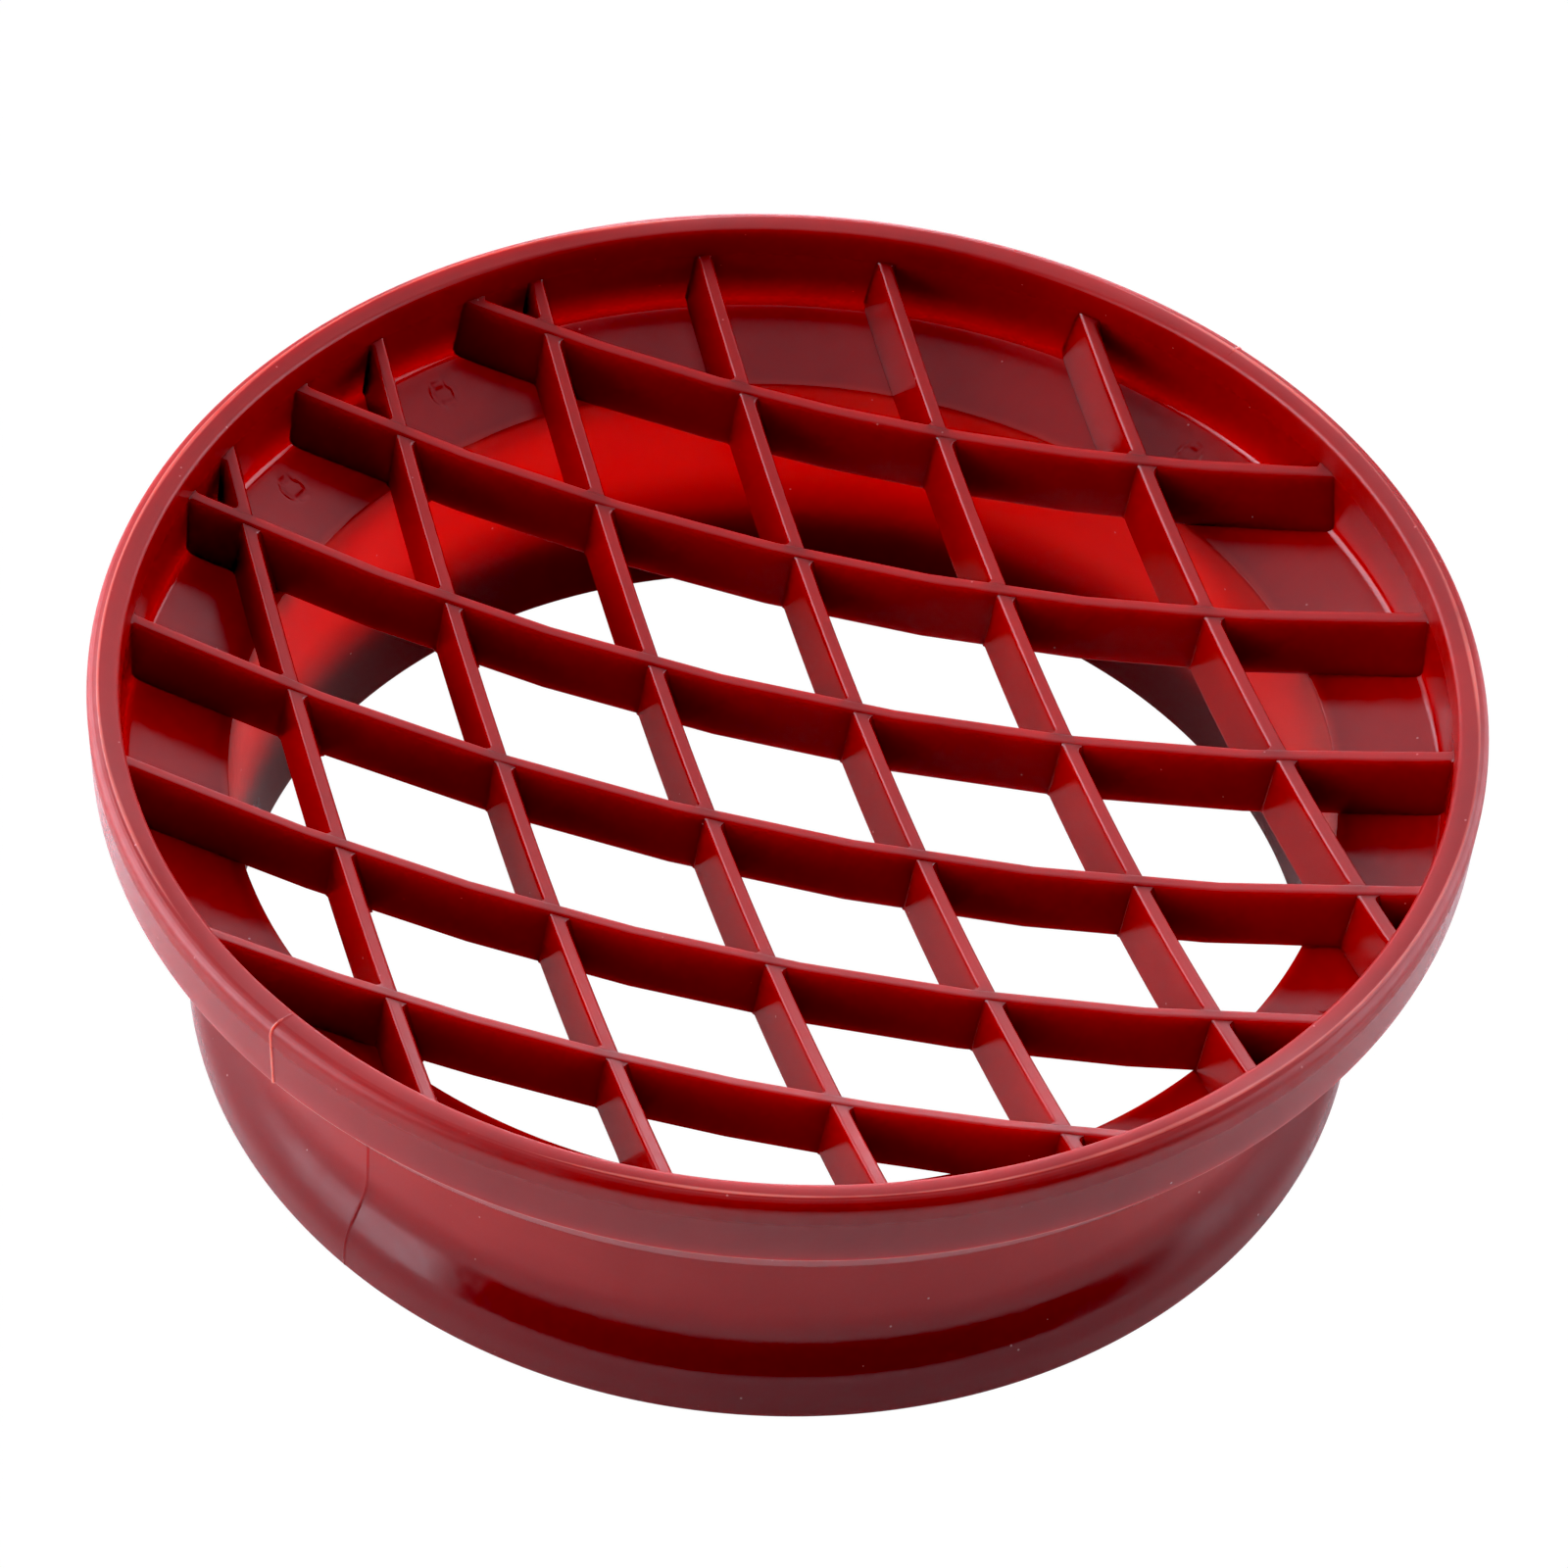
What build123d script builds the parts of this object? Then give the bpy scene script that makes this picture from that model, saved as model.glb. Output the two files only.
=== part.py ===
"""Round lattice stamp, 95 mm across: a rimmed band, a sloping ledge, a thin waist, a flared
base bead and a dished diamond lattice of blade ribs.

The real thing is one plastic moulding. Its regions are separate solids here, which meet face to
face without overlap: four rings and twelve ribs. The base stands on z = 0, +Z is the ring's axis,
+X runs along the long diagonal of the lattice's diamonds and +Y along the short one.
"""
import os
from math import asin, cos, degrees, radians, sin, sqrt

from build123d import *

# Overall, in millimetres
HEIGHT = 29.3             # base to the crest of the rim
BAND_RADIUS = 47.5        # outside of the band, its widest point
WALL_RADIUS = 45.2        # inside of the band, where the ribs end
THROAT_RADIUS = 38.2      # hole in the ledge, which is also the inside of the waist
MOUTH_RADIUS = 38.5       # inside of the base bead, at the bottom
BASE_RADIUS = 41.85       # outside of the base bead, at the bottom

# Rim and band
CREST_RADIUS = 46.5       # the highest line of the rim
RIM_DROP = 0.2            # fall of the rim from its crest to its inner edge
RIM_INNER_ROUND = 0.3
RIM_OUTER_ROUND = 0.9
BAND_HEIGHT = 5.55        # crest to the band's lower edge
BAND_DRAFT = 0.1          # the band is this much narrower at its lower edge
BAND_EDGE_ROUND = 0.2
BAND_LAND = 0.7           # flat width under the band
HEEL_RADIUS = 45.0        # where the slope under the band meets the underside of the ledge
HEEL_Z = 21.1

# Dish: the rib tops lie on one sphere, and the rib undersides and the ledge on another
DISH_RADIUS = 141.0
RIB_DEPTH = 4.6
RIB_TOP_LOW = 19.35       # height of the rib tops at the centre
FLOOR_LOW = RIB_TOP_LOW - RIB_DEPTH
FLOOR_FILLET = 0.7        # between the ledge and the wall

# Lattice
RIB_PITCH = 12.83         # between the middles of neighbouring parallel ribs
RIBS_EACH_WAY = 6
RIB_HALF_ANGLE = 30.0     # a and b ribs run at plus and minus this angle to X
RIB_TOP_WIDTH = 0.9
RIB_FOOT_WIDTH = 2.4
BLADE_HALF_ARC = 24.0     # a rib is cut from a bent bar that reaches this far each way, in degrees
BLADE_MARGIN = 1.0        # and that passes the rib's top and underside by this much

# Waist and base bead
SHOULDER_Z = 18.4         # where the ledge ring's part ends and the waist wall begins
SHOULDER_RADIUS = 39.15   # outside of the waist there
UNDERSIDE_FILLET = 0.8    # between the ledge's underside and the waist
FLARE_Z = 8.6             # where the waist wall ends and the base bead begins
FLARE_TOP_RADIUS = 39.37  # outside of the waist there
FLARE_START = (39.42, 6.8)
FLARE_END = (41.52, 2.6)
FLARE_ROUND = 5.0         # both bends of the S-shaped flare
BASE_EDGE_ROUND = 0.3


def sphere_height(low, radius):
    """Height of a dish sphere whose lowest point is at low, at a distance radius from the axis."""
    return low + DISH_RADIUS - sqrt(DISH_RADIUS**2 - radius**2)


def sphere_angle(radius):
    """Angle at a dish sphere's centre between its lowest point and radius, in degrees."""
    return degrees(asin(radius / DISH_RADIUS))


# The fillet between ledge and wall touches the floor sphere at fillet_foot and the wall at fillet_head
fillet_centre_r = WALL_RADIUS - FLOOR_FILLET
fillet_centre_z = (
    FLOOR_LOW + DISH_RADIUS - sqrt((DISH_RADIUS - FLOOR_FILLET) ** 2 - fillet_centre_r**2)
)
foot_scale = DISH_RADIUS / (DISH_RADIUS - FLOOR_FILLET)
fillet_foot = (
    fillet_centre_r * foot_scale,
    sphere_height(FLOOR_LOW, fillet_centre_r * foot_scale),
)
fillet_head = (WALL_RADIUS, fillet_centre_z)

throat_edge = (THROAT_RADIUS, sphere_height(FLOOR_LOW, THROAT_RADIUS))
rim_inner_z = HEIGHT - RIM_DROP
band_foot_z = HEIGHT - BAND_HEIGHT
band_foot_radius = BAND_RADIUS - BAND_DRAFT
slope_top = (band_foot_radius - BAND_LAND, band_foot_z)

# The slope under the band is cut in two by the wall cylinder, and the ledge keeps its lower part
slope_share = (slope_top[0] - WALL_RADIUS) / (slope_top[0] - HEEL_RADIUS)
slope_cut = (WALL_RADIUS, slope_top[1] - slope_share * (slope_top[1] - HEEL_Z))

# The underside runs parallel to the floor sphere, in a straight cone
cone_fall = sphere_height(FLOOR_LOW, HEEL_RADIUS) - sphere_height(FLOOR_LOW, SHOULDER_RADIUS)
underside_corner = (SHOULDER_RADIUS, HEEL_Z - cone_fall)

os.makedirs("parts", exist_ok=True)

with BuildPart() as rim_band:
    with BuildSketch(Plane.XZ):
        with BuildLine():
            FilletPolyline(
                slope_cut,
                (WALL_RADIUS, rim_inner_z),
                (CREST_RADIUS, HEIGHT),
                (BAND_RADIUS, HEIGHT),
                (band_foot_radius, band_foot_z),
                slope_top,
                radius=[0, RIM_INNER_ROUND, 0, RIM_OUTER_ROUND, BAND_EDGE_ROUND, BAND_EDGE_ROUND],
                close=True,
            )
        make_face()
    revolve(axis=Axis.Z)
rim_band.part.label = "rim_band"

with BuildPart() as ledge_ring:
    with BuildSketch(Plane.XZ):
        with BuildLine():
            floor_arc = CenterArc(
                (0, FLOOR_LOW + DISH_RADIUS),
                DISH_RADIUS,
                sphere_angle(THROAT_RADIUS) - 90,
                sphere_angle(fillet_foot[0]) - sphere_angle(THROAT_RADIUS),
            )
            RadiusArc(floor_arc @ 1, fillet_head, -FLOOR_FILLET)
            Line(fillet_head, slope_cut)
            FilletPolyline(
                slope_cut,
                (HEEL_RADIUS, HEEL_Z),
                underside_corner,
                (SHOULDER_RADIUS, SHOULDER_Z),
                radius=[0, UNDERSIDE_FILLET],
            )
            Polyline((SHOULDER_RADIUS, SHOULDER_Z), (THROAT_RADIUS, SHOULDER_Z), floor_arc @ 0)
        make_face()
    revolve(axis=Axis.Z)
ledge_ring.part.label = "ledge_ring"

with BuildPart() as waist_wall:
    with BuildSketch(Plane.XZ):
        with BuildLine():
            Polyline(
                (THROAT_RADIUS, FLARE_Z),
                (THROAT_RADIUS, SHOULDER_Z),
                (SHOULDER_RADIUS, SHOULDER_Z),
                (FLARE_TOP_RADIUS, FLARE_Z),
                close=True,
            )
        make_face()
    revolve(axis=Axis.Z)
waist_wall.part.label = "waist_wall"

with BuildPart() as base_flare:
    with BuildSketch(Plane.XZ):
        with BuildLine():
            FilletPolyline(
                (THROAT_RADIUS, FLARE_Z),
                (FLARE_TOP_RADIUS, FLARE_Z),
                FLARE_START,
                FLARE_END,
                (BASE_RADIUS, 0),
                (MOUTH_RADIUS, 0),
                radius=[0, 0, FLARE_ROUND, FLARE_ROUND, BASE_EDGE_ROUND, BASE_EDGE_ROUND],
                close=True,
            )
        make_face()
    revolve(axis=Axis.Z)
base_flare.part.label = "base_flare"

# The space that the ribs fill, between the two dish spheres and inside the wall
with BuildPart() as dish:
    with BuildSketch(Plane.XZ):
        with BuildLine():
            floor_arc = CenterArc(
                (0, FLOOR_LOW + DISH_RADIUS), DISH_RADIUS, -90, sphere_angle(fillet_foot[0])
            )
            RadiusArc(floor_arc @ 1, fillet_head, -FLOOR_FILLET)
            top_arc = CenterArc(
                (0, RIB_TOP_LOW + DISH_RADIUS), DISH_RADIUS, -90, sphere_angle(WALL_RADIUS)
            )
            Line(fillet_head, top_arc @ 1)
            Line(floor_arc @ 0, top_arc @ 0)
        make_face()
    revolve(axis=Axis.Z)


def blade(angle, offset):
    """A drafted bar bent about the dish's centre: a rib running at angle, offset to its left."""
    along = Vector(cos(radians(angle)), sin(radians(angle)), 0)
    across = Vector(-sin(radians(angle)), cos(radians(angle)), 0)
    centre = (0, 0, RIB_TOP_LOW + DISH_RADIUS)
    top_radius = sqrt(DISH_RADIUS**2 - offset**2)
    draft = (RIB_FOOT_WIDTH - RIB_TOP_WIDTH) / 2 / RIB_DEPTH
    half_top = RIB_TOP_WIDTH / 2 - draft * BLADE_MARGIN
    half_foot = RIB_FOOT_WIDTH / 2 + draft * BLADE_MARGIN
    start = radians(BLADE_HALF_ARC)
    end_plane = Plane(
        origin=centre, x_dir=across, z_dir=along * cos(start) + Vector(0, 0, 1) * sin(start)
    )
    with BuildPart() as bent_bar:
        with BuildSketch(end_plane):
            with BuildLine():
                Polyline(
                    (offset - half_top, BLADE_MARGIN - top_radius),
                    (offset + half_top, BLADE_MARGIN - top_radius),
                    (offset + half_foot, -RIB_DEPTH - BLADE_MARGIN - top_radius),
                    (offset - half_foot, -RIB_DEPTH - BLADE_MARGIN - top_radius),
                    close=True,
                )
            make_face()
        revolve(axis=Axis(centre, across), revolution_arc=2 * BLADE_HALF_ARC)
    return bent_bar.part


offsets = [RIB_PITCH * (k - (RIBS_EACH_WAY - 1) / 2) for k in range(RIBS_EACH_WAY)]

# The a ribs are continuous from wall to wall
a_ribs = []
for number, offset in enumerate(offsets, start=1):
    a_bar = blade(RIB_HALF_ANGLE, offset)
    with BuildPart() as a_rib:
        add(dish.part)
        add(a_bar, mode=Mode.INTERSECT)
    a_rib.part.label = f"rib_a{number}"
    a_ribs.append(a_rib.part)

# The b ribs are cut at every crossing by the a ribs
b_ribs = []
for number, offset in enumerate(offsets, start=1):
    b_bar = blade(-RIB_HALF_ANGLE, offset)
    with BuildPart() as b_rib:
        add(dish.part)
        add(b_bar, mode=Mode.INTERSECT)
        add(a_ribs, mode=Mode.SUBTRACT)
    b_rib.part.label = f"rib_b{number}"
    b_ribs.append(b_rib.part)

for piece in [rim_band.part, ledge_ring.part, waist_wall.part, base_flare.part, *a_ribs, *b_ribs]:
    export_step(piece, f"parts/{piece.label}.step")
    print(piece.label, len(piece.solids()), "solids", round(piece.volume, 1), "mm3")
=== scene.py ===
"""Looks of the round lattice stamp: one moulded ring and twelve blade ribs in dark red plastic.

Everything is in metres in the CAD frame: the base stands on z = 0, +Z is the ring's axis, +X the
long diagonal of the lattice's diamonds. The mould parts along the plane that holds the Y axis.
"""
from math import cos, degrees, hypot, pi, radians, sin, tan

import bmesh
import bpy
import numpy as np
from mathutils import Matrix, Vector


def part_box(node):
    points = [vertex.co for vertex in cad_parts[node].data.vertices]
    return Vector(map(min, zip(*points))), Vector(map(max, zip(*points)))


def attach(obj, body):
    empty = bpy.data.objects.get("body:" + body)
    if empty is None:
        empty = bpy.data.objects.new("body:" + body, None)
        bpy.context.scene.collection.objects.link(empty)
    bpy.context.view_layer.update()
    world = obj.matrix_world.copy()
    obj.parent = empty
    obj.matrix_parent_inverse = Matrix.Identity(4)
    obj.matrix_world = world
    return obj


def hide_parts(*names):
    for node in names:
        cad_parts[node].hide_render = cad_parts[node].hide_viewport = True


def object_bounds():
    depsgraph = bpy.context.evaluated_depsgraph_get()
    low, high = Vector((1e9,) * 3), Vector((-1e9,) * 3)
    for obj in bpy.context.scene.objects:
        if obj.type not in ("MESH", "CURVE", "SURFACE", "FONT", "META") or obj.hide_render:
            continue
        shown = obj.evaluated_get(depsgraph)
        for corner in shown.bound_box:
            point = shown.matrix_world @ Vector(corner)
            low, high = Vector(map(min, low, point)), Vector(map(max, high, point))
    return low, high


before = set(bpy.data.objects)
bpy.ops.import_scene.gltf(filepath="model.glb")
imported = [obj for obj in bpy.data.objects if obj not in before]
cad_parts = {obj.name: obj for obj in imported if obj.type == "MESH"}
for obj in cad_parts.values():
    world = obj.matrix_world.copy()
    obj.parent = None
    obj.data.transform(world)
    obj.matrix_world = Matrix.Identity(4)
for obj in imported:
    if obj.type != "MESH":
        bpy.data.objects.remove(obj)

MM = 0.001
cad_low, cad_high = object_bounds()


# ---------------------------------------------------------------- sizes read from the frame

def radii(node):
    """Least and greatest distance of a CAD node's corners from the ring's axis."""
    distances = [hypot(v.co.x, v.co.y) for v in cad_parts[node].data.vertices]
    return min(distances), max(distances)


TOP = cad_high.z
WALL_RADIUS, BAND_RADIUS = radii("rim_band")
THROAT_RADIUS, FLARE_TOP_RADIUS = radii("waist_wall")
BASE_RADIUS = radii("base_flare")[1]
FLARE_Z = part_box("base_flare")[1].z
SHOULDER_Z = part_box("waist_wall")[1].z

# ---------------------------------------------------------------- sizes the frame doesn't name

CREST_RADIUS = 46.5 * MM        # the highest line of the rim
MOUTH_RADIUS = 38.5 * MM        # inside of the base bead, at the bottom
RIM_DROP = 0.2 * MM             # the rim's inner edge is this much lower than its crest
RIM_INNER_ROUND = 0.35 * MM
RIM_OUTER_ROUND = 0.8 * MM
BAND_HEIGHT = 5.55 * MM
BAND_DRAFT = 0.1 * MM
BAND_EDGE_ROUND = 0.22 * MM
BAND_LAND = 0.7 * MM            # flat underside of the band's edge
HEEL_RADIUS = 45.4 * MM         # where the step under the band turns in beneath the ledge
HEEL_Z = 20.9 * MM
HEEL_ROUND = 0.4 * MM
SHOULDER_RADIUS = 39.15 * MM    # outside of the waist at its top
UNDERSIDE_FILLET = 0.8 * MM
FLARE_START = (39.42 * MM, 6.6 * MM)        # radius and height of the flare's two bends
FLARE_END = (41.55 * MM, 3.0 * MM)
FLARE_ROUND = 5.0 * MM
BASE_EDGE_ROUND = 0.35 * MM
THROAT_EDGE_ROUND = 0.12 * MM
FLOOR_FILLET = 0.7 * MM

DISH_RADIUS = 141.0 * MM        # rib tops and rib undersides lie on spheres of this radius
RIB_TOP_LOW = 19.35 * MM
RIB_DEPTH = 4.6 * MM
RIB_PITCH = 12.83 * MM
RIBS_EACH_WAY = 6
RIB_HALF_ANGLE = 30.0           # degrees from X, a ribs one way and b ribs the other
RIB_TOP_WIDTH = 0.9 * MM
RIB_FOOT_WIDTH = 2.4 * MM
RIB_TOP_ROUND = 0.2 * MM
RIB_FOOT_ROUND = 0.2 * MM
CROSSING_FILLET = 0.3 * MM      # in the corners where b ribs meet a ribs
ROOT_FILLET = 0.2 * MM          # where ribs meet the wall; they meet the ledge in a sharp corner
EMBED = 0.3 * MM                # how far a rib runs into the ring, out of sight
FOOT_LIP = 0.04 * MM            # how far the edges of a rib's foot go into the ledge
B_TOP_DROP = 0.04 * MM          # b ribs stop this much lower than the a ribs that they cross

# Moulding marks
RIDGE_HEIGHT = 0.09 * MM        # flash line round the rim's crest
RIDGE_WIDTH = 0.09 * MM
FIN_HEIGHT = 0.09 * MM          # flash at the two parting lines
FIN_WIDTH = 0.07 * MM
HALF_STEP = 0.05 * MM           # the mould's -X half stands this much prouder
PIN_RADIUS = 0.85 * MM          # ejector pin marks on the ledge
PIN_CIRCLE = 42.6 * MM
PIN_ANGLES = (10, 90, 170, 190, 270, 350)
PIN_GROOVE = 0.08 * MM
PIN_GROOVE_WIDTH = 0.09 * MM
RIDGE_WANDER = 0.14 * MM        # how far the flash line strays from the crest
STEP_WIDTH = 0.06 * MM          # the step between the mould's halves is spread over this

# Mesh fineness
LONG_STEP = 0.9 * MM            # longest stretch of the ring's outline
PIN_STEP = 0.35 * MM            # the same where the pin marks are
CREST_STEP = 0.05 * MM          # the same by the flash line
COLUMN_STEP = 1.2               # degrees between the ring's columns
FIN_COLUMNS = (0, .03, .06, .09, .13, .2, .4)      # degrees each side of a parting line
PIN_COLUMNS = 29                # across one pin mark and its surroundings
NEAR_CORNER = np.array((-.05, 0, .05, .1, .17, .26, .4, .62, 1.0)) * MM     # rib stations

# Plastic
RED_LOW = (0.22, 0.003, 0.002, 1)
RED_HIGH = (0.28, 0.006, 0.004, 1)
# painted glow: light coming through the thin waist wall, painted into the colour
PAINTED_GLOW_RED = (0.58, 0.03, 0.016, 1)
# painted shade on the thick base bead, where less light comes through
PAINTED_SHADE_RED = (0.15, 0.002, 0.002, 1)
# paler crest flash and parting lines, and a painted highlight along the band's lower edge
PALE_LINE_AND_HIGHLIGHT = (0.7, 0.28, 0.22, 1)
DUST_PALE = (0.6, 0.35, 0.33, 1)
SCATTER_RADIUS = (4.5, 0.4, 0.3)            # millimetres, red light going deepest
BEAD_SHADE_LOW = 4.0 * MM        # up to here the thick base bead gets its full painted shade
BEAD_SHADE_HIGH = 8.5 * MM       # and from here up it gets no painted shade
WAIST_GLOW_LOW = 6.5 * MM       # from here to the next height the waist's painted glow rises
WAIST_GLOW_HIGH = 12.5 * MM
OUTER_GLOW = 0.12               # how much of the waist's painted glow its outside gets
GLOSS = (0.14, 0.26)            # least and greatest roughness of the satin finish
SCUFF_ROUGHNESS = 0.22          # added on the rib tops
SCUFF_DEPTH = 0.12 * MM


# ---------------------------------------------------------------- outline and mesh helpers

def sphere_height(low, radius):
    """Height of a dish sphere whose lowest point is at low, at a distance radius from the axis."""
    return low + DISH_RADIUS - np.sqrt(DISH_RADIUS**2 - radius**2)


def rounded(corners, steps=7):
    """An open outline through corners (r, z, round), with every rounded corner as an arc."""
    points = []
    for k, (r, z, size) in enumerate(corners):
        here = np.array((r, z))
        if size == 0:
            points.append(here)
            continue
        back = np.array(corners[k - 1][:2]) - here
        ahead = np.array(corners[k + 1][:2]) - here
        back, ahead = back / np.linalg.norm(back), ahead / np.linalg.norm(ahead)
        half = np.arccos(np.clip(back @ ahead, -1, 1)) / 2
        middle = (back + ahead) / np.linalg.norm(back + ahead)
        centre = here + middle * size / sin(half)
        start = here + back * size / tan(half) - centre
        end = here + ahead * size / tan(half) - centre
        turn = pi - 2 * half
        for share in np.linspace(0, 1, steps):
            arc = start * sin((1 - share) * turn) + end * sin(share * turn)
            points.append(centre + arc / sin(turn))
    return points


def densified(points):
    """The same outline with no long stretch, and with short ones on the rim and at the pin marks."""
    fine = [points[0]]
    for a, b in zip(points, points[1:]):
        on_crest = min(a[1], b[1]) > TOP - 0.4 * MM and max(a[0], b[0]) > CREST_RADIUS - 0.5 * MM
        by_pins = abs((a[0] + b[0]) / 2 - PIN_CIRCLE) < 2 * PIN_RADIUS
        longest = CREST_STEP if on_crest else PIN_STEP if by_pins else LONG_STEP
        count = max(1, int(np.ceil(np.linalg.norm(b - a) / longest)))
        fine += [a + (b - a) * k / count for k in range(1, count + 1)]
    return fine


def placed(name, data):
    """A new object in the scene that holds the data."""
    thing = bpy.data.objects.new(name, data)
    bpy.context.scene.collection.objects.link(thing)
    return thing


def grid_mesh(name, grid, close_ends):
    """A mesh from a grid of points whose columns close on themselves; rows close, or are capped."""
    rows, columns = grid.shape[:2]
    index = np.arange(rows * columns).reshape(rows, columns)
    ahead = np.roll(index, -1, axis=1)
    if close_ends:
        low, high, low_ahead, high_ahead = index, np.roll(index, -1, 0), ahead, np.roll(ahead, -1, 0)
    else:
        low, high, low_ahead, high_ahead = index[:-1], index[1:], ahead[:-1], ahead[1:]
    faces = np.stack([low, low_ahead, high_ahead, high], -1).reshape(-1, 4).tolist()
    if not close_ends:
        faces += [index[0][::-1].tolist(), index[-1].tolist()]
    mesh = bpy.data.meshes.new(name)
    mesh.from_pydata(grid.reshape(-1, 3).tolist(), [], faces)
    shell = bmesh.new()
    shell.from_mesh(mesh)
    bmesh.ops.recalc_face_normals(shell, faces=shell.faces)
    shell.to_mesh(mesh)
    shell.free()
    mesh.shade_smooth()
    return placed(name, mesh)


def bump(distance, width):
    """A smooth hill of height 1 about distance 0."""
    return np.exp(-((distance / width) ** 2))


# ---------------------------------------------------------------- the ring

def outer_outline():
    """The ring's section from the crest of the rim down its outside to the base."""
    proud = FIN_HEIGHT              # the ridge, fins and mould step stay inside the CAD outline
    band = BAND_RADIUS - FIN_HEIGHT - HALF_STEP
    floor_rise = sphere_height(0, HEEL_RADIUS) - sphere_height(0, SHOULDER_RADIUS)
    foot = TOP - BAND_HEIGHT
    return rounded([
        (CREST_RADIUS, TOP - proud, 0),
        (band, TOP - proud, RIM_OUTER_ROUND),
        (band - BAND_DRAFT, foot, BAND_EDGE_ROUND),
        (band - BAND_DRAFT - BAND_LAND, foot, BAND_EDGE_ROUND),
        (HEEL_RADIUS, HEEL_Z, HEEL_ROUND),
        (SHOULDER_RADIUS, HEEL_Z - floor_rise, UNDERSIDE_FILLET),
        (SHOULDER_RADIUS, SHOULDER_Z, 0),
        (FLARE_TOP_RADIUS - HALF_STEP, FLARE_Z, 0),
        (FLARE_START[0] - HALF_STEP, FLARE_START[1], FLARE_ROUND),
        (FLARE_END[0] - HALF_STEP, FLARE_END[1], FLARE_ROUND),
        (BASE_RADIUS - FIN_HEIGHT - HALF_STEP, 0, BASE_EDGE_ROUND),
        (MOUTH_RADIUS, 0, 0),
    ])


def inner_outline():
    """The ring's section from the base up its inside, over the ledge, to the crest of the rim."""
    floor_low = RIB_TOP_LOW - RIB_DEPTH
    floor = [(r, sphere_height(floor_low, r), 0)
             for r in np.linspace(THROAT_RADIUS + 0.3 * MM, WALL_RADIUS - 1.2 * MM, 6)]
    return rounded([
        (MOUTH_RADIUS + 0.6 * MM, 0, 0),
        (MOUTH_RADIUS, 0, BASE_EDGE_ROUND),
        (THROAT_RADIUS, FLARE_Z, 0),
        (THROAT_RADIUS, sphere_height(floor_low, THROAT_RADIUS), THROAT_EDGE_ROUND),
        *floor,
        (WALL_RADIUS, sphere_height(floor_low, WALL_RADIUS), FLOOR_FILLET),
        (WALL_RADIUS, TOP - RIM_DROP - FIN_HEIGHT, RIM_INNER_ROUND),
        (CREST_RADIUS, TOP - FIN_HEIGHT, 0),
    ])[1:-1]


def ring_angles():
    """Angles round the ring in radians: even steps, and fine ones at the marks that need them."""
    even = list(np.arange(0, 360, COLUMN_STEP))
    fin = [side + s * d for side in (90, 270) for s in (-1, 1) for d in FIN_COLUMNS]
    pin_reach = degrees(1.5 * PIN_RADIUS / PIN_CIRCLE)
    pins = [a + d for a in PIN_ANGLES for d in np.linspace(-pin_reach, pin_reach, PIN_COLUMNS)]
    return np.radians(np.array(sorted({round(a % 360, 4) for a in even + fin + pins})))


def make_ring():
    outer = densified(outer_outline()[:-1])
    inner = densified(inner_outline())
    outline = np.array(outer + inner)
    tangent = np.roll(outline, -1, 0) - np.roll(outline, 1, 0)
    normal = np.stack([-tangent[:, 1], tangent[:, 0]], -1)
    normal /= np.linalg.norm(normal, axis=1)[:, None]
    is_outer = (np.arange(len(outline)) < len(outer))[:, None]
    angle = ring_angles()[None, :]
    radius, height = outline[:, :1], outline[:, 1:]

    rise = np.zeros((len(outline), angle.shape[1]))
    on_rim = height > TOP - 0.5 * MM
    wander = np.sin(2 * angle + 1.0) + np.sin(5 * angle) / 2
    ridge_radius = CREST_RADIUS + RIDGE_WANDER * wander
    ridge_strength = 0.72 + 0.28 * np.sin(3 * angle + 0.6) * np.sin(7 * angle)
    rise += RIDGE_HEIGHT * on_rim * ridge_strength * bump(radius - ridge_radius, RIDGE_WIDTH)

    parting = np.minimum(abs(angle - pi / 2), abs(angle - 3 * pi / 2)) * radius
    above_base = is_outer * np.clip(height / MM, 0, 1)
    rise = np.maximum(rise, FIN_HEIGHT * above_base * bump(parting, FIN_WIDTH))
    minus_x_half = np.clip(-np.cos(angle) * radius / STEP_WIDTH + 0.5, 0, 1)
    rise += HALF_STEP * above_base * minus_x_half * np.maximum(0, normal[:, :1])

    for pin in PIN_ANGLES:
        away = np.hypot(radius * np.cos(angle) - PIN_CIRCLE * cos(radians(pin)),
                        radius * np.sin(angle) - PIN_CIRCLE * sin(radians(pin)))
        on_ledge = (~is_outer) & (height < TOP - 5 * MM)
        rise -= PIN_GROOVE * on_ledge * bump(away - PIN_RADIUS, PIN_GROOVE_WIDTH)

    r = radius + rise * normal[:, :1]
    z = np.minimum(height + rise * normal[:, 1:], TOP)
    grid = np.stack([r * np.cos(angle), r * np.sin(angle), np.broadcast_to(z, r.shape)], -1)
    return grid_mesh("moulded_ring", grid[::-1], close_ends=True)


# ---------------------------------------------------------------- the ribs

STEEPEST_FILLET = radians(80)


def corner_offset(distance, corner_angle, size):
    """How far a fillet stands off a face, at a distance along it from the corner it fills."""
    turn = np.minimum(pi - corner_angle, STEEPEST_FILLET)
    inside = np.maximum(0, size / np.tan(corner_angle / 2) - distance)
    arc = np.minimum(inside, size * np.sin(turn))
    return size - np.sqrt(size**2 - arc**2) + (inside - arc) * np.tan(turn)


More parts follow.
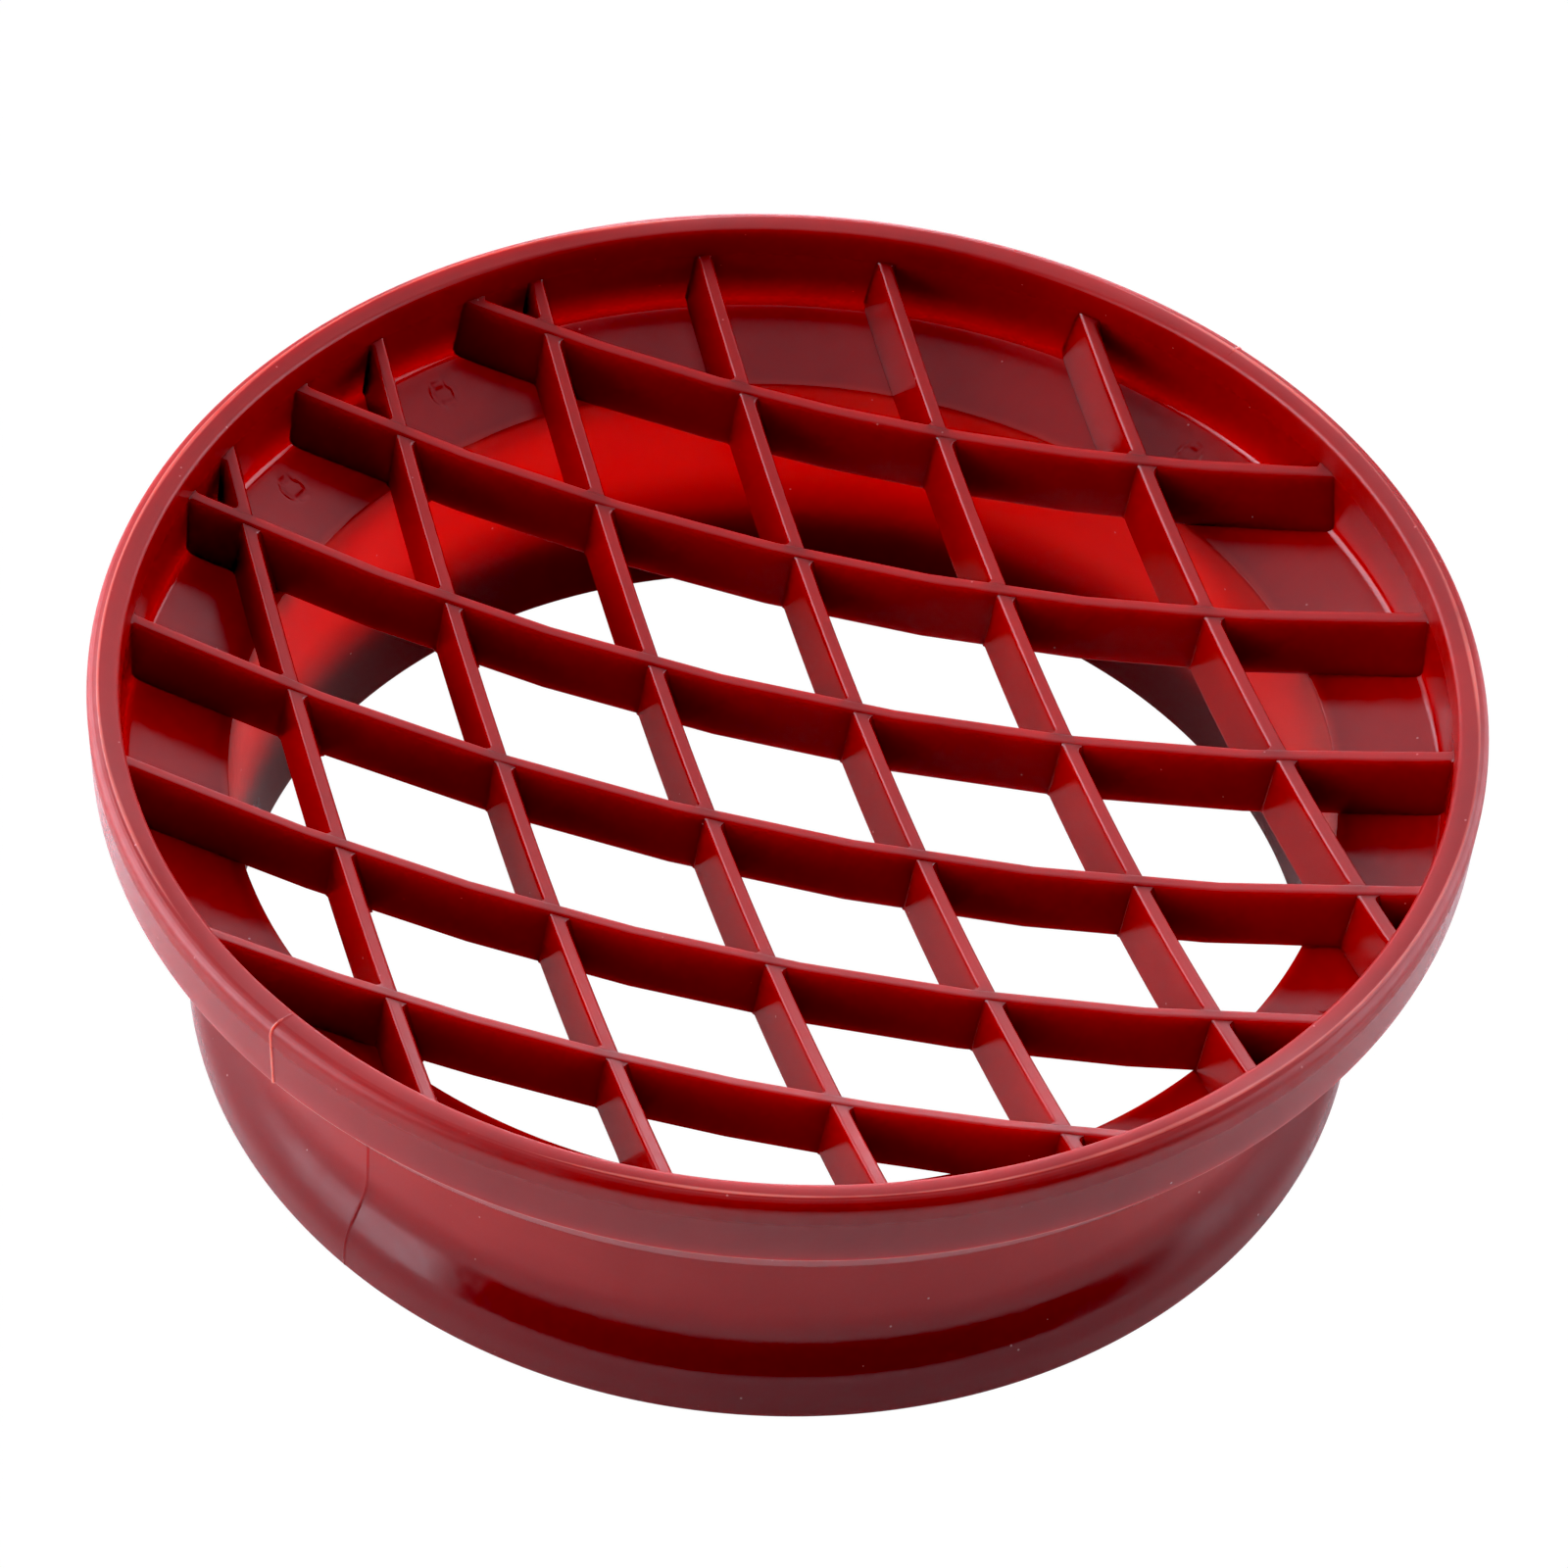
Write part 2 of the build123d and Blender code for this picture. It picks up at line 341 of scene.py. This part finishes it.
class Rib:
    """One blade: its direction, its offset from the axis, and the half width at each depth."""

    def __init__(self, family, number):
        self.name = f"rib_{family}{number}"
        turn = radians(RIB_HALF_ANGLE if family == "a" else -RIB_HALF_ANGLE)
        self.along = np.array((cos(turn), sin(turn)))
        self.across = np.array((-sin(turn), cos(turn)))
        self.offset = RIB_PITCH * (number - (RIBS_EACH_WAY + 1) / 2)
        self.drop = B_TOP_DROP if family == "b" else 0.0

    def half_width(self, depth):
        draft = (RIB_FOOT_WIDTH - RIB_TOP_WIDTH) / 2 / RIB_DEPTH
        return RIB_TOP_WIDTH / 2 + draft * depth

    def wall_reach(self, side):
        """How far along the rib the wall is, for a line at a distance side from the rib's middle."""
        return np.sqrt(WALL_RADIUS**2 - (self.offset + side) ** 2)


def rib_section():
    """A rib's section as (across, depth) pairs, across from -1 to 1, going round once."""
    top = [0, .006 * MM, .03 * MM, .08 * MM, RIB_TOP_ROUND]
    flank = list(np.linspace(0.12, 0.8, 6) * RIB_DEPTH)
    foot = [RIB_DEPTH - d * MM for d in (.6, .42, .3, .2, .12, .05, 0, -.04)]
    side = top + flank + foot
    return (
        [(-1, depth) for depth in reversed(side)]
        + [(x, 0) for x in (-0.4, 0, 0.4)]
        + [(1, depth) for depth in side]
        + [(x, RIB_DEPTH + FOOT_LIP) for x in (0.4, 0, -0.4)]
    )


def between(start, end):
    """Stations between two corners, close together near both. start and end are one per column."""
    length = (end - start)[None, :]
    near = NEAR_CORNER[:, None] * np.minimum(1, 0.4 * length / NEAR_CORNER[-1])
    middle = np.linspace(0, 1, 8)[1:-1, None]
    inner_start, inner_end = start + near[-1], end - near[-1]
    return np.concatenate([
        start + near, inner_start + (inner_end - inner_start) * middle, (end - near)[::-1]
    ])


def rib_stations(rib, crossed, side, depth):
    """Places along a rib, one column for each point of its section, in order from end to end."""
    wall = rib.wall_reach(side)

    # Where each column meets a face: wall, crossed ribs, wall
    corners, hubs = [-wall], []
    for other in crossed:
        q_along = rib.along @ other.across
        middle = other.offset - (rib.offset + side) * (rib.across @ other.across)
        reach = other.half_width(depth) / abs(q_along)
        corners += [middle / q_along - reach, middle / q_along + reach]
        hubs.append(middle / q_along)
    corners.append(wall)

    stations = [(-wall - EMBED)[None, :]]
    for k in range(0, len(corners), 2):
        stations.append(between(corners[k], corners[k + 1]))
        if k // 2 < len(hubs):
            stations.append(hubs[k // 2][None, :])
    stations.append((wall + EMBED)[None, :])
    return np.concatenate(stations)


def rib_stand_off(rib, crossed, facing, side, depth, t, on_ledge):
    """How far the rib's skin stands off its plain drafted section: edge rounds and fillets."""
    # Rounded top and foot edges; the foot stays sharp where it meets the ledge
    right_angle = pi / 2
    foot_round = corner_offset(RIB_DEPTH - depth, right_angle, RIB_FOOT_ROUND)
    foot_round = np.minimum(foot_round, 0.35 * MM) * (1 - on_ledge)
    stand_off = -corner_offset(depth, right_angle, RIB_TOP_ROUND) - foot_round

    # Fillets against the wall, which meets both ends of a flank at the same angle
    wall_angle = np.arccos(facing * (rib.offset + side) / WALL_RADIUS)
    stand_off = stand_off + corner_offset(rib.wall_reach(side) - abs(t), wall_angle, ROOT_FILLET)

    # Fillets against the crossed ribs
    for other in crossed:
        q_along = rib.along @ other.across
        place = (t * q_along + (rib.offset + side) * (rib.across @ other.across) - other.offset) / q_along
        reach = other.half_width(depth) / abs(q_along)
        leaning = (other.along @ rib.across) * facing
        opening = np.sign(place) * (other.along @ rib.along) * np.sign(leaning + 1e-12)
        crossing_angle = np.arccos(np.clip(opening, -1, 1))
        fillet = corner_offset(abs(place) - reach, crossing_angle, CROSSING_FILLET)
        stand_off = stand_off + np.where(abs(place) > reach / 2, fillet, 0)
    return np.clip(stand_off, -2 * RIB_TOP_ROUND, 2 * ROOT_FILLET) * facing


def make_rib(rib, crossed):
    """A rib's mesh, with fillets against the wall and the crossed ribs."""
    section = rib_section()
    share = np.array([s for s, _ in section])
    depth = np.array([d for _, d in section])
    side = share * rib.half_width(depth)
    facing = np.where(abs(share) == 1, np.sign(share), 0)[None, :]
    t = rib_stations(rib, crossed, side, depth)

    plan = t[..., None] * rib.along + (rib.offset + side)[None, :, None] * rib.across
    past_throat = np.linalg.norm(plan, axis=-1) - THROAT_RADIUS
    on_ledge = np.clip(past_throat / (0.25 * MM), 0, 1)
    stand_off = rib_stand_off(rib, crossed, facing, side, depth, t, on_ledge)
    plan = plan + stand_off[..., None] * rib.across

    radius = np.minimum(np.linalg.norm(plan, axis=-1), WALL_RADIUS + 2 * EMBED)
    is_bottom = (depth > RIB_DEPTH) & (abs(share) < 1)
    deep = np.minimum(depth, RIB_DEPTH + FOOT_LIP * on_ledge) + rib.drop * (1 - depth / RIB_DEPTH)
    deep = deep + np.where(is_bottom, EMBED * on_ledge, 0)
    z = sphere_height(RIB_TOP_LOW, radius) - deep
    grid = np.concatenate([plan, z[..., None]], -1)
    return grid_mesh(f"{rib.name}_blade", grid, close_ends=False)


def crossings_inside(rib, others):
    """The other family's ribs that cross this one inside the wall, in order along it."""
    found = []
    for other in others:
        q_along = rib.along @ other.across
        t = (other.offset - rib.offset * (rib.across @ other.across)) / q_along
        if hypot(t, rib.offset) < WALL_RADIUS - 0.5 * MM:
            found.append((t, other))
    return [other for _, other in sorted(found, key=lambda pair: pair[0])]


# ---------------------------------------------------------------- material

def new_node(tree, kind, **values):
    """A shader node with its properties, and its inputs where the name is an input's."""
    node = tree.nodes.new(kind)
    for key, value in values.items():
        label = key.replace("_", " ")
        if label in node.inputs:
            node.inputs[label].default_value = value
        else:
            setattr(node, key, value)
    return node


def math_node(tree, operation, *values):
    """The result of a math node; each value is a number or another node's output."""
    node = tree.nodes.new("ShaderNodeMath")
    node.operation = operation
    for socket, value in zip(node.inputs, values):
        if isinstance(value, bpy.types.NodeSocket):
            tree.links.new(value, socket)
        else:
            socket.default_value = value
    return node.outputs[0]


def ramp(tree, value, start, end, low=0.0, high=1.0):
    """A smooth rise from low to high as value goes from start to end."""
    node = tree.nodes.new("ShaderNodeMapRange")
    node.interpolation_type = "SMOOTHSTEP"
    for name, number in (("From Min", start), ("From Max", end), ("To Min", low), ("To Max", high)):
        node.inputs[name].default_value = number
    tree.links.new(value, node.inputs["Value"])
    return node.outputs["Result"]


def product(tree, first, *others):
    """The product of several outputs."""
    for other in others:
        first = math_node(tree, "MULTIPLY", first, other)
    return first


def mixed(tree, factor, colour, other):
    """The colour of an output, turning into the other colour as the factor goes from 0 to 1."""
    node = new_node(tree, "ShaderNodeMix", data_type="RGBA")
    tree.links.new(factor, node.inputs["Factor"])
    tree.links.new(colour, node.inputs["A"])
    node.inputs["B"].default_value = other
    return node.outputs["Result"]


def noise(tree, place, **values):
    """A noise texture's value at a place."""
    node = new_node(tree, "ShaderNodeTexNoise", **values)
    tree.links.new(place, node.inputs["Vector"])
    return node.outputs["Fac"]


def plastic_colour(tree, place, x, height, radius_squared):
    """Deep red, with painted glow in the thin waist, painted shade on the thick bead, paler crest flash
    and parting lines, a painted highlight along the band's lower edge, and dust specks.
    """
    # Faint swirl of the colour, as from the gate
    swirl = noise(tree, place, Scale=55.0, Detail=4.0, Distortion=1.2)
    red = new_node(tree, "ShaderNodeValToRGB")
    low, high = red.color_ramp.elements
    low.position, low.color = 0.3, RED_LOW
    high.position, high.color = 0.7, RED_HIGH
    tree.links.new(swirl, red.inputs["Fac"])

    # Painted glow: the waist wall is thin, so the light coming through it is painted into the colour,
    # above all on its inside
    painted_glow = product(
        tree,
        ramp(tree, height, WAIST_GLOW_LOW, WAIST_GLOW_HIGH),
        ramp(tree, height, SHOULDER_Z + 2 * MM, SHOULDER_Z + 1 * MM),
        ramp(tree, radius_squared, (THROAT_RADIUS - 0.1 * MM)**2, (THROAT_RADIUS - 0.05 * MM)**2),
        ramp(tree, radius_squared, (SHOULDER_RADIUS + 1.0 * MM)**2, (SHOULDER_RADIUS + 0.4 * MM)**2),
        ramp(tree, radius_squared, (SHOULDER_RADIUS - 0.2 * MM)**2, (THROAT_RADIUS + 0.2 * MM)**2,
             OUTER_GLOW, 1.0),
    )
    colour = mixed(tree, painted_glow, red.outputs["Color"], PAINTED_GLOW_RED)

    # Painted shade: the thick base bead lets less light through, so it is painted darker
    colour = mixed(tree, ramp(tree, height, BEAD_SHADE_HIGH, BEAD_SHADE_LOW), colour, PAINTED_SHADE_RED)

    # Paler along the flash on the crest and along the band's parting lines; along the band's lower edge
    # the pale is a painted highlight
    on_ridge = ramp(tree, height, TOP - 0.085 * MM, TOP - 0.05 * MM, 0.0, 0.55)
    from_edge = math_node(tree, "ABSOLUTE", math_node(tree, "SUBTRACT", height, TOP - BAND_HEIGHT))
    from_parting = math_node(tree, "ABSOLUTE", x)
    edge_highlight_and_parting = math_node(tree, "MAXIMUM", ramp(tree, from_edge, 0.22 * MM, 0.1 * MM),
                        ramp(tree, from_parting, 0.1 * MM, 0.04 * MM))
    on_band = ramp(tree, radius_squared, (CREST_RADIUS + 0.1 * MM)**2, (CREST_RADIUS + 0.35 * MM)**2)
    pale_line_and_highlight = math_node(tree, "MAXIMUM", on_ridge, product(tree, edge_highlight_and_parting, on_band))
    patchy = ramp(tree, swirl, 0.3, 0.6, 0.4, 0.9)
    colour = mixed(tree, product(tree, pale_line_and_highlight, patchy), colour, PALE_LINE_AND_HIGHLIGHT)

    # A few pale specks of dust
    dust = new_node(tree, "ShaderNodeTexVoronoi", Scale=450.0)
    tree.links.new(place, dust.inputs["Vector"])
    speck = ramp(tree, dust.outputs["Distance"], 0.045, 0.025, 0.0, 0.45)
    return mixed(tree, speck, colour, DUST_PALE)


def plastic_roughness(tree, place, height, radius_squared):
    """Satin mould finish, duller on the rib tops, which rub on things."""
    satin = ramp(tree, noise(tree, place, Scale=900.0, Detail=3.0), 0.2, 0.8, *GLOSS)
    below_centre = math_node(tree, "SQRT", math_node(tree, "SUBTRACT", DISH_RADIUS**2, radius_squared))
    rib_top = math_node(tree, "SUBTRACT", RIB_TOP_LOW + DISH_RADIUS, below_centre)
    depth = math_node(tree, "SUBTRACT", rib_top, height)
    scuff = product(tree, ramp(tree, depth, SCUFF_DEPTH, SCUFF_DEPTH / 4), SCUFF_ROUGHNESS)
    return math_node(tree, "ADD", satin, scuff)


def red_plastic():
    """Translucent deep red plastic with a satin finish and a fine grain."""
    material = bpy.data.materials.new("red_plastic")
    material.use_nodes = True
    tree = material.node_tree
    tree.nodes.clear()
    link = tree.links.new
    output = new_node(tree, "ShaderNodeOutputMaterial")
    shader = new_node(tree, "ShaderNodeBsdfPrincipled", IOR=1.49)
    shader.inputs["Subsurface Weight"].default_value = 1.0
    shader.inputs["Subsurface Radius"].default_value = SCATTER_RADIUS
    shader.inputs["Subsurface Scale"].default_value = 1.0 * MM
    place = new_node(tree, "ShaderNodeTexCoord").outputs["Object"]
    parts = new_node(tree, "ShaderNodeSeparateXYZ")
    link(place, parts.inputs["Vector"])
    x, y, height = parts.outputs
    radius_squared = math_node(tree, "ADD", product(tree, x, x), product(tree, y, y))
    link(plastic_colour(tree, place, x, height, radius_squared), shader.inputs["Base Color"])
    link(plastic_roughness(tree, place, height, radius_squared), shader.inputs["Roughness"])

    relief = new_node(tree, "ShaderNodeBump", Strength=0.12, Distance=0.02 * MM)
    link(noise(tree, place, Scale=6000.0, Detail=2.0), relief.inputs["Height"])
    link(relief.outputs["Normal"], shader.inputs["Normal"])
    link(shader.outputs["BSDF"], output.inputs["Surface"])
    return material


# ---------------------------------------------------------------- stage, lights and camera

CAMERA_AZIMUTH = 40.896         # degrees round from looking along +Y
CAMERA_ELEVATION = 46.238
CAMERA_ROLL = 4.035
CAMERA_DISTANCE = 338.4 * MM
CAMERA_LENS = 114.77            # millimetres, on a 36 mm sensor
AIM_HEIGHT = 28.85 * MM         # the camera aims at the axis at this height, then slides
SLIDE_RIGHT = -0.52 * MM
SLIDE_UP = -8.08 * MM

LIGHT_TINT = (0.98, 0.88, 1.0)
STAGE_RADIUS = 3.0
FLOOR_HALF_SIZE = 0.15          # softly lit part of the floor, past which the room is dark
FLOOR_GLOW = 0.1
ROOM_LIGHT = 0.04
BLACK_LEVEL = 0.012


def toward(azimuth, elevation):
    a, e = radians(azimuth), radians(elevation)
    return Vector((sin(a) * cos(e), -cos(a) * cos(e), sin(e)))


def make_camera():
    """The camera at the photograph's viewing angle."""
    a, roll = radians(CAMERA_AZIMUTH), radians(CAMERA_ROLL)
    back = toward(CAMERA_AZIMUTH, CAMERA_ELEVATION)
    level = Vector((cos(a), sin(a), 0))
    upright = back.cross(level)
    right = level * cos(roll) + upright * sin(roll)
    up = upright * cos(roll) - level * sin(roll)
    data = bpy.data.cameras.new("camera")
    data.lens = CAMERA_LENS
    data.sensor_width = 36.0
    data.clip_start, data.clip_end = 0.01, 20.0
    camera = placed("camera", data)
    place = Vector((0, 0, AIM_HEIGHT)) + back * CAMERA_DISTANCE + right * SLIDE_RIGHT + up * SLIDE_UP
    camera.matrix_world = Matrix.Translation(place) @ Matrix((right, up, back)).transposed().to_4x4()
    bpy.context.scene.camera = camera


def softbox(name, azimuth, elevation, distance, size, power):
    """A square area light that faces the object, so many degrees round from the camera."""
    back = toward(CAMERA_AZIMUTH + azimuth, elevation)
    data = bpy.data.lights.new(name, "AREA")
    data.shape = "SQUARE"
    data.size = size
    data.energy = power
    data.color = LIGHT_TINT
    light = placed(name, data)
    light.location = back * distance
    light.rotation_mode = "QUATERNION"
    light.rotation_quaternion = back.to_track_quat("Z", "Y")


def plain_white(name, base, emission):
    """A plain matt white material, which may glow."""
    material = bpy.data.materials.new(name)
    material.use_nodes = True
    shader = material.node_tree.nodes["Principled BSDF"]
    shader.inputs["Base Color"].default_value = (base, base, base, 1)
    shader.inputs["Roughness"].default_value = 0.8
    shader.inputs["Emission Color"].default_value = (1, 1, 1, 1)
    shader.inputs["Emission Strength"].default_value = emission
    return material


def make_backdrop():
    """The plain white floor and sweep that are seen. They light nothing and show in no gloss."""
    shell = bmesh.new()
    bmesh.ops.create_uvsphere(shell, u_segments=48, v_segments=24, radius=STAGE_RADIUS)
    for vertex in shell.verts:
        vertex.co.z = max(0, vertex.co.z)
    mesh = bpy.data.meshes.new("backdrop")
    shell.to_mesh(mesh)
    shell.free()
    backdrop = placed("backdrop", mesh)
    mesh.materials.append(plain_white("backdrop_white", 0, 1.0))
    backdrop.visible_diffuse = False
    backdrop.visible_glossy = False
    backdrop.visible_transmission = False
    backdrop.visible_shadow = False


def make_floor():
    """The matt floor under the object, unseen itself, which throws the softboxes' light back up."""
    mesh = bpy.data.meshes.new("floor")
    half = FLOOR_HALF_SIZE
    mesh.from_pydata([(-half, -half, 0), (half, -half, 0), (half, half, 0), (-half, half, 0)],
                     [], [(0, 1, 2, 3)])
    floor = placed("floor", mesh)
    mesh.materials.append(plain_white("floor_white", 0.85, FLOOR_GLOW))
    floor.visible_camera = False


def make_world():
    """Faint even light from the room."""
    world = bpy.data.worlds.new("studio")
    world.use_nodes = True
    background = world.node_tree.nodes["Background"]
    background.inputs["Color"].default_value = (1, 1, 1, 1)
    background.inputs["Strength"].default_value = ROOM_LIGHT
    bpy.context.scene.world = world


def set_tone():
    """A plain view with slightly deepened blacks, as in a product photograph."""
    view = bpy.context.scene.view_settings
    view.view_transform = "Standard"
    view.use_curve_mapping = True
    view.curve_mapping.black_level = (BLACK_LEVEL,) * 3
    view.curve_mapping.update()


# ---------------------------------------------------------------- putting it together

make_camera()
make_world()
make_backdrop()
make_floor()
softbox("left_box", azimuth=-105, elevation=20, distance=0.8, size=0.9, power=14.0)
softbox("left_front_box", azimuth=-68, elevation=15, distance=0.8, size=0.5, power=3.2)
softbox("right_box", azimuth=105, elevation=18, distance=0.8, size=0.9, power=10.0)
softbox("back_box", azimuth=180, elevation=30, distance=0.9, size=0.9, power=3.0)
softbox("low_back_box", azimuth=180, elevation=8, distance=0.9, size=0.3, power=2.5)
softbox("top_box", azimuth=180, elevation=75, distance=0.9, size=0.7, power=1.2)

plastic = red_plastic()
ring = make_ring()
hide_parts("rim_band", "ledge_ring", "waist_wall", "base_flare")
pieces = [ring]

numbers = range(1, RIBS_EACH_WAY + 1)
a_ribs = [Rib("a", n) for n in numbers]
b_ribs = [Rib("b", n) for n in numbers]
for rib in a_ribs + b_ribs:
    crossed = crossings_inside(rib, a_ribs) if rib in b_ribs else []
    blade = make_rib(rib, crossed)
    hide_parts(rib.name)
    pieces.append(blade)

for piece in pieces:
    piece.data.materials.append(plastic)
    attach(piece, "root")

set_tone()
